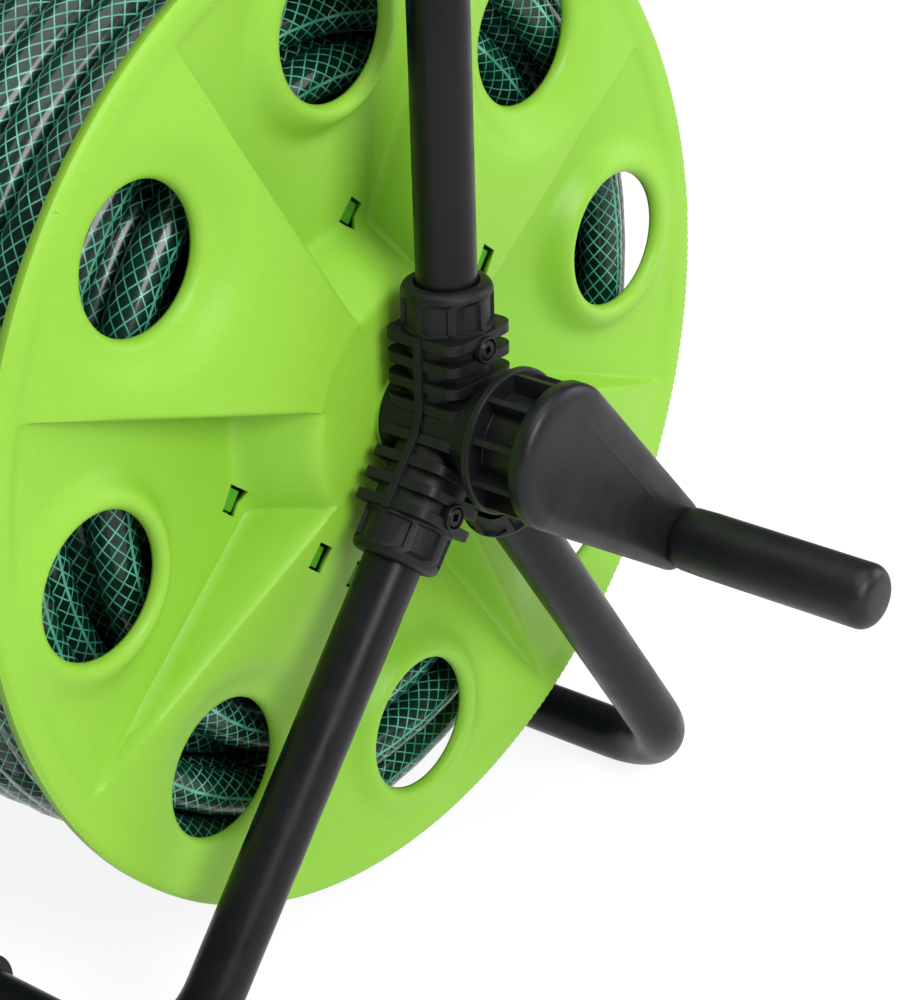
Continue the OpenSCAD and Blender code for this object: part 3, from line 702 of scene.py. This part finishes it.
def flange_shape():
    points, edges = flange_points()
    verts, _, faces, *_ = delaunay_2d_cdt(points, edges, [], 0, 1e-4)

    def kept(face):
        middle = sum((verts[i] for i in face), Vector((0, 0))) / len(face)
        if middle.length < HOLE_R or any((middle - c.xy).length < WINDOW_R - 0.02 for c in WINDOWS):
            return False
        return not any(abs(middle.x - x) < SLOT_ALONG / 2 and abs(middle.y - y) < SLOT_ACROSS / 2
                       for x, y in SLOTS)

    skin = [(v.x, v.y, flange_height(v.x, v.y)) for v in verts], [f for f in faces if kept(f)]
    return Shape().add(skin, turn("Z", SECTOR_DIR))


def drop_edges(made, depth_at, sign):
    """Turns the open edges of a flange back along the axle, so that holes and rim get walls."""
    work = bmesh.new()
    work.from_mesh(made.data)
    bmesh.ops.delete(work, geom=[v for v in work.verts if not v.link_faces], context="VERTS")
    rims = [e for e in work.edges if e.is_boundary]
    grown = bmesh.ops.extrude_edge_only(work, edges=rims)["geom"]
    for v in grown:
        if isinstance(v, bmesh.types.BMVert):
            offset = (v.co - REEL) / MM
            v.co.x -= sign * depth_at(math.hypot(offset.y, offset.z)) * MM
    bmesh.ops.recalc_face_normals(work, faces=work.faces)
    up = sum(f.normal.x * f.calc_area() for f in work.faces)
    if up * sign < 0:
        bmesh.ops.reverse_faces(work, faces=work.faces)
    work.to_mesh(made.data)
    work.free()


def hole_depth(r):
    if r > FLANGE_R - 1:
        return RIM_TURN_IN
    return WINDOW_TURN_IN if r > WINDOW_PITCH_R - 2 * WINDOW_R else SLOT_TURN_IN


def flanges():
    shape = flange_shape()
    crease = 40
    # boss behind the hub that the shaft runs in
    bore_r, boss_in_w, boss_out_w = HOLE_R + 0.2, HUB_FACE_W - BOSS_LEN, HUB_FACE_W - SKIN
    boss_profile = [(bore_r, boss_in_w), (BOSS_R, boss_in_w), (BOSS_R, boss_out_w), (bore_r, boss_out_w)]
    for place, name, sign in zip(SIDES, ("crank_side_flange", "inlet_side_flange"), (1, -1)):
        side = Shape().add((shape.verts, shape.faces), place)
        made = side.piece(name + "_shell", FLANGE_GREEN, "reel", (name,), "flange_green",
                          crease=crease, solid=SKIN)
        drop_edges(made, hole_depth, sign)
        made.data.shade_smooth()
        made.data.set_sharp_from_angle(angle=math.radians(crease))
        boss = Shape().add(lathe(boss_profile, closed=True), place)
        boss.piece(name + "_boss", FLANGE_GREEN, "reel", slot="flange_green", bevel=0.6)


# ---- hub housings ----

SOCKET_DIRS = (HANDLE_DIR, FRONT_DIR, REAR_DIR)


def socket_parts():
    """The parts of one tube socket, with local z along the tube and local x towards the reel."""
    fin = rounded_square(FIN_HALF, 5.5)
    parts = [lathe([(SOCKET_R, 8), (SOCKET_R, SOCKET_LEN)], 64)]
    for i in range(FINS):
        z = FIN_FIRST + FIN_PITCH * i
        parts.append(prism(fin, z - FIN_T / 2, z + FIN_T / 2))
    rib_end = FIN_FIRST + FIN_PITCH * (FINS - 1) + FIN_T / 2
    for side in (1, -1):
        parts.append(block(-RIB_HALF, RIB_HALF, 10 * side, (FIN_HALF + 0.9) * side,
                           FIN_FIRST - 5, rib_end + 0.3))
    return parts


def collar_part():
    """End collar with flat panels between ribs, open round the tube."""
    grooved = cog(COLLAR_R, COLLAR_R - 1.3, 8, 0.22)
    n = len(grooved)
    bore_r, rounding = TUBE_R + 0.5, 3.4

    def circle(r):
        angles = [2 * math.pi * (i + 0.5) / n for i in range(n)]
        return [(r * math.cos(a), r * math.sin(a)) for a in angles]

    levels = [(circle(SOCKET_R - 2), SOCKET_LEN - 1), (circle(COLLAR_R - 0.2), SOCKET_LEN - 1)]
    levels += [(circle(COLLAR_R), SOCKET_LEN + 1.2), (grooved, SOCKET_LEN + 1.9), (grooved, COLLAR_END - 5.2)]
    levels += [(circle(r), z) for r, z in arc(COLLAR_R - rounding, COLLAR_END - rounding, rounding, 0, 90)]
    levels += [(circle(TUBE_R + 1.1), COLLAR_END), (circle(bore_r), COLLAR_END - 0.8),
               (circle(bore_r), COLLAR_END - 12)]
    return [(x, y, z) for outline, z in levels for x, y in outline], wrapped(len(levels), n)


def housing(place, name):
    body = Shape()
    barrel = [(BUSH_R, HOUSING_IN_W), (BARREL_R - 0.6, HOUSING_IN_W), (BARREL_R, HOUSING_IN_W + 0.6),
              (BARREL_R, HOUSING_OUT_W - 0.8), (BARREL_R - 0.8, HOUSING_OUT_W), (BUSH_R, HOUSING_OUT_W)]
    body.add(lathe(barrel, 96, closed=True), place)
    screw_boss = [(SCREW_HOLE_R, SCREW_FACE_W - 3.4), (SCREW_BOSS_R, LEG_W + 10),
                  (SCREW_BOSS_R, SCREW_FACE_W - 0.4), (SCREW_BOSS_R - 0.3, SCREW_FACE_W),
                  (SCREW_HOLE_R + 0.25, SCREW_FACE_W), (SCREW_HOLE_R, SCREW_FACE_W - 0.3)]
    for direction in SOCKET_DIRS:
        for part in socket_parts():
            body.add(part, place @ spoke(direction, LEG_W))
        at_screw = place @ turn("Z", direction) @ shift(SCREW_AT, 0, 0)
        body.add(lathe(screw_boss, 40, closed=True), at_screw)
    # rib that runs on over the barrel between the handle socket and the rear socket
    rib_from, rib_to, steps = HANDLE_DIR + RIB_REACH, REAR_DIR + 360 - RIB_REACH, 24
    for k in range(steps):
        ends = [mix(rib_from, rib_to, (k + i) / steps) for i in (0, 1)]
        corners = [polar(r, a) for a in ends for r in (BARREL_R - 2, BARREL_R + 1.4)]
        outline = [(corners[i].x, corners[i].y) for i in (0, 1, 3, 2)]
        body.add(prism(outline, LEG_W - RIB_HALF, LEG_W + RIB_HALF), place)
    body.piece(name + "_body", HOUSING_BLACK, "frame", (name,), "black_moulding", bevel=0.55, crease=32)
    collars = Shape()
    for direction in SOCKET_DIRS:
        collars.add(collar_part(), place @ spoke(direction, LEG_W))
    collars.piece(name + "_collars", HOUSING_BLACK, "frame", slot="black_moulding", crease=34)


def screw_part():
    """Round head with a square drive, in its boss."""
    n = 32
    circle = [(math.cos(2 * math.pi * i / n), math.sin(2 * math.pi * i / n)) for i in range(n)]
    square = []
    for x, y in circle:
        reach = 1 / max(abs(x), abs(y))
        square.append((x * reach, y * reach))
    top = SCREW_FACE_W - 0.3
    head_r, drive_half, drive_depth = 3.7, 1.35, 1.6
    levels = [(circle, head_r, top - 2.4), (circle, head_r, top - 0.5), (circle, head_r - 0.5, top),
              (square, drive_half, top), (square, drive_half - 0.1, top - drive_depth),
              (square, 0.05, top - drive_depth)]
    verts = [(x * r, y * r, z) for outline, r, z in levels for x, y in outline]
    return verts, wrapped(len(levels), n)


def housings_and_screws():
    screws = Shape()
    for place, name in zip(SIDES, ("hub_housing_crank_side", "hub_housing_inlet_side")):
        housing(place, name)
        for direction in SOCKET_DIRS:
            at_screw = place @ turn("Z", direction) @ shift(SCREW_AT, 0, 0)
            screws.add(screw_part(), at_screw @ turn("Z", SCREW_TURN))
    screws.piece("housing_screw_heads", SCREW_BLACK, "frame", ("housing_screws",), "screw_black")


# ---- crank and grip ----

def arm_outline(inset, n=36):
    """Outline of the crank's shell: a large and a small circle joined by their tangents."""
    big, small = CRANK_DISC_R - inset, ARM_END_R - inset
    lean = math.degrees(math.acos((big - small) / CRANK_R))
    points = []
    for i in range(n + 1):
        p = polar(big, mix(lean, 360 - lean, i / n))
        points.append((p.x, p.y))
    for i in range(n + 1):
        p = polar(small, mix(-lean, lean, i / n))
        points.append((CRANK_R + p.x, p.y))
    return points


def arm_shell():
    """Tapered shell with a crowned top, a faint lengthwise crease and a seat for the grip."""
    def bottom(x):
        return mix(CRANK_OUT_W, GRIP_START_W - 12, smooth(x / CRANK_R * 0.9 + 0.05))

    def side_top(x):
        return mix(CRANK_OUT_W + 4.4, GRIP_START_W - 3.4, min(1, max(0, x / CRANK_R)))

    def crown(x, y, inset):
        rise = mix(3.6, 3.4, min(1, max(0, x / CRANK_R)))
        rounding = math.sqrt(max(0.0, 1 - (1 - min(1, inset / 6)) ** 2))
        crease = 0.5 * max(0.0, 1 - abs(y - 4) / 5) * smooth(x, 8, 30) * min(1, inset / 6)
        return side_top(x) + rise * rounding + crease

    insets = (0, 0.15, 0.5, 1.0, 1.7, 2.6, 3.8, 5.2, 7, 9, 11, 13)
    outline = arm_outline(0)
    n = len(outline)
    verts = [(x, y, bottom(x)) for x, y in arm_outline(0.5)]
    verts += [(x, y, bottom(x) + 0.5) for x, y in outline]
    for inset in insets:
        verts += [(x, y, min(crown(x, y, inset), GRIP_START_W + 5)) for x, y in arm_outline(inset)]
    rows = 2 + len(insets)
    last = (rows - 1) * n
    faces = wrapped(rows, n)
    faces.append(tuple(reversed(range(n))))
    # the last outline is closed by strips across the arm
    faces += [(last + i, last + i + 1, last + n - 2 - i, last + n - 1 - i) for i in range(n // 2 - 1)]
    return verts, faces


def crank():
    place = turn("Z", CRANK_DIR)
    disc_out_w, edge = CRANK_IN_W + CRANK_DISC_T, 0.5
    hub = [(HOLE_R, CRANK_IN_W), (CRANK_DISC_R - edge, CRANK_IN_W), (CRANK_DISC_R, CRANK_IN_W + edge),
           (CRANK_DISC_R, disc_out_w - edge), (CRANK_DISC_R - edge, disc_out_w),
           (CRANK_SPOOL_R, disc_out_w), (CRANK_SPOOL_R, CRANK_OUT_W), (HOLE_R, CRANK_OUT_W)]
    arm = Shape().add(lathe(hub, 96, closed=True), place)
    rib = block(CRANK_SPOOL_R - 1, CRANK_DISC_R - 1.2, -CRANK_RIB_HALF, CRANK_RIB_HALF,
                disc_out_w - 0.5, CRANK_OUT_W + 0.5)
    for k in range(CRANK_RIBS):
        arm.add(rib, place @ turn("Z", 360 / CRANK_RIBS * (k + 0.5)))
    arm.piece("crank_hub", CRANK_BLACK, "reel", ("crank_arm",), "crank_moulding", bevel=0.5)
    shell = Shape().add(arm_shell(), place)
    shell.piece("crank_shell", CRANK_BLACK, "reel", slot="crank_moulding", crease=50)
    profile = [(6, GRIP_START_W + 0.5), (GRIP_R - 1.2, GRIP_START_W + 0.5),
               (GRIP_R - 0.7, GRIP_START_W + 1.1), (GRIP_R - 0.25, GRIP_START_W + 4),
               (GRIP_R, GRIP_START_W + 12), (GRIP_R, GRIP_END_W - 9)]
    profile += arc(GRIP_R - 6, GRIP_END_W - 6.2, 6, 0, 80, 8)
    profile += [(3, GRIP_END_W - 0.05), (0.05, GRIP_END_W)]
    grip = Shape().add(lathe(profile, 96), place @ shift(CRANK_R, 0, 0))
    grip.piece("hand_grip", CRANK_BLACK, "crank_grip", ("grip_sleeve", "grip_end_cap"), "crank_moulding")


# ---- wheels ----

def wheel_centre_parts():
    """Hub, rim with its web, and spokes, turned about the axle."""
    hub_half, rim_r, edge = WHEEL_HUB_HALF, TYRE_SEAT_R, TYRE_HALF - 2
    bore_r = AXLE_R + 0.1
    hub = [(bore_r, -hub_half), (9.5, -hub_half), (11, -hub_half + 2), (11, hub_half - 2), (9.5, hub_half),
           (bore_r, hub_half)]
    rim = [(rim_r - 5, -edge), (rim_r, -edge), (rim_r, edge), (rim_r - 5, edge), (rim_r - 7, edge - 3),
           (rim_r - 8, 2), (10, 2), (10, -2), (rim_r - 8, -2), (rim_r - 7, -edge + 3)]
    rib = prism([(9, -12), (rim_r - 6, -edge + 0.6), (rim_r - 6, edge - 0.6), (9, 12)], -1.8, 1.8)
    yield lathe(hub, 64, closed=True), Matrix.Identity(4)
    yield lathe(rim, 96, closed=True), Matrix.Identity(4)
    for k in range(WHEEL_RIBS):
        yield rib, turn("Z", 360 / WHEEL_RIBS * k) @ turn("X", 90)


def tyre_parts():
    """Tyre and two staggered rows of tread blocks."""
    h, base, side_r = TYRE_HALF, WHEEL_R - 1.8, 5.5
    profile = [(TYRE_SEAT_R, -h + 1), (TYRE_SEAT_R + 1, -h), (TYRE_SEAT_R + 3.5, -h)]
    profile += arc(base - side_r, -h + side_r, side_r, -80, 0)
    profile += [(r, -z) for r, z in reversed(profile)]
    yield lathe(profile, 120, closed=True), Matrix.Identity(4)
    low = block(base - 1, WHEEL_R - 0.1, -2.9, 2.9, -h + 3.4, -0.8)
    high = block(base - 1, WHEEL_R - 0.1, -2.9, 2.9, 0.8, h - 3.4)
    pitch = 360 / TREAD_BLOCKS
    for k in range(TREAD_BLOCKS):
        yield low, turn("Z", pitch * k)
        yield high, turn("Z", pitch * (k + 0.5))


def wheels():
    for side, name in ((-1, "left"), (1, "right")):
        place = shift(AXLE_U, AXLE_V, side * WHEEL_W)
        centre, tyre = Shape(), Shape()
        for part, at in wheel_centre_parts():
            centre.add(part, place @ at)
        centre.piece("wheel_centre_" + name, HOUSING_BLACK, name + "_wheel", ("wheel_" + name,),
                     "black_moulding", bevel=0.5)
        for part, at in tyre_parts():
            tyre.add(part, place @ at)
        tyre.piece("tyre_" + name + "_tread", TYRE_RUBBER, name + "_wheel", ("tyre_" + name,),
                   "tyre_black", bevel=0.4)


# ---- connectors ----

def ribbed(levels, r_groove, ribs, z0, z1, share=0.5, n=4):
    """A turned part whose stretch from z0 to z1 has lengthwise finger ribs."""
    outline = cog(max(r for r, _ in levels), r_groove, ribs, share, n)
    directions = [math.atan2(y, x) for x, y in outline]
    verts = []
    for r, z in levels:
        points = outline if z0 <= z <= z1 else [(r * math.cos(a), r * math.sin(a)) for a in directions]
        verts += [(x, y, z) for x, y in points]
    return verts, wrapped(len(levels), len(outline), closed=True)


# Profiles along their own axis: the hose end's nut, shank and release sleeve, and the inlet's nipple
NUT = [(8.9, 0.2), (11.2, 0.2), (12.6, 2.6), (12.6, 3.0), (13.4, 3.4), (13.4, 14.6),
       (12.4, 15.6), (9.1, 15.6)]
SHANK = [(5, 15.8), (10.4, 15.8), (11, 16.4), (11, 41), (10.2, 42), (8.3, 42), (8.05, 41.6), (8.05, 28),
         (7.5, 28), (7.5, 26), (5, 26)]
SLEEVE = [(11.1, 22.2), (12.6, 22.2), (13.2, 23), (13.2, 24.6), (13.5, 25), (13.5, 35.2), (12.8, 36),
          (12.2, 37.8), (11.1, 37.8)]
NIPPLE = [(4.5, 30.2), (8.9, 30.2), (8.9, 36.1), (11.4, 36.1), (12.4, 37), (12.4, 41.2), (11.4, 42),
          (8.6, 42), (8.6, 45.2), (8.0, 46), (6.8, 46.4), (6.8, 49.6), (8.0, 50), (8.0, 52), (7.1, 52.5),
          (7.1, 54.8), (8.0, 55.4), (8.0, 60.8), (7.2, 62), (5, 62), (4.5, 61.5)]
GRIP_GROOVE_R = 12.5
INLET_BRANCH_W = -(HOUSING_OUT_W + 17.4)


def connectors():
    at_end = turn("Z", END_DIR) @ shift(END_R, 0, END_W) @ turn("X", -90)
    down = spoke(-90, INLET_BRANCH_W)
    Shape().add(ribbed(NUT, GRIP_GROOVE_R, 14, 3.3, 14.7), at_end).piece(
        "hose_nut", ORANGE, "reel", ("connector_nut",), "fitting_orange", bevel=0.25)
    Shape().add(lathe(SHANK, 64, closed=True), at_end).piece(
        "connector_shank", HOUSING_BLACK, "reel", ("connector_body",), "black_moulding", bevel=0.15)
    Shape().add(ribbed(SLEEVE, GRIP_GROOVE_R, 18, 24.9, 35.3), at_end).piece(
        "connector_sleeve", ORANGE, "release_collar", ("connector_collar",), "fitting_orange", bevel=0.2)
    Shape().add(lathe(NIPPLE, 64, closed=True), down).piece(
        "inlet_hose_nipple", ORANGE, "inlet", ("inlet_nipple",), "fitting_orange", bevel=0.15)


flanges()
housings_and_screws()
crank()
wheels()
connectors()

# ---- floor and light ----

FLOOR_REACH, FLOOR_GLOW, WORLD_STRENGTH = 12, 0.88, 0.14
LIT_POINT = (0.0, 0.05, 0.3)
LIGHTS = (  # name, place, size, power
    ("top", (0.3, -0.4, 2.6), 2.4, 50),
    ("key", (2.3, -0.6, 1.6), 1.2, 60),
    ("side", (1.4, 2.0, 1.1), 1.4, 22),
)


def area_light(name, location, size, power):
    lamp = bpy.data.lights.new(name, "AREA")
    lamp.energy, lamp.size = power, size
    made = bpy.data.objects.new(name, lamp)
    made.location = location
    made.rotation_euler = (Vector(LIT_POINT) - Vector(location)).to_track_quat("-Z", "Y").to_euler()
    bpy.context.scene.collection.objects.link(made)


def floor_and_light():
    """A white floor that glows, as a light table does, under three soft lights."""
    floor_mesh = bpy.data.meshes.new("floor")
    corners = [(FLOOR_REACH * x, FLOOR_REACH * y, 0) for x, y in ((-1, -1), (1, -1), (1, 1), (-1, 1))]
    floor_mesh.from_pydata(corners, [], [(0, 1, 2, 3)])
    floor = bpy.data.objects.new("floor", floor_mesh)
    bpy.context.scene.collection.objects.link(floor)
    floor_mesh.materials.append(
        moulded("floor_white", srgb(120, 120, 120), srgb(126, 126, 126), 0.9, cloud=2.0, relief=0.0,
                specular=0.0, glow=FLOOR_GLOW))
    world = bpy.data.worlds.new("studio")
    world.use_nodes = True
    world.node_tree.nodes["Background"].inputs["Color"].default_value = (1, 1, 1, 1)
    world.node_tree.nodes["Background"].inputs["Strength"].default_value = WORLD_STRENGTH
    bpy.context.scene.world = world
    bpy.context.scene.view_settings.view_transform = "Standard"
    for light in LIGHTS:
        area_light(*light)


floor_and_light()

# ---- end ----

row(path[0])
[row(p) for p in path]
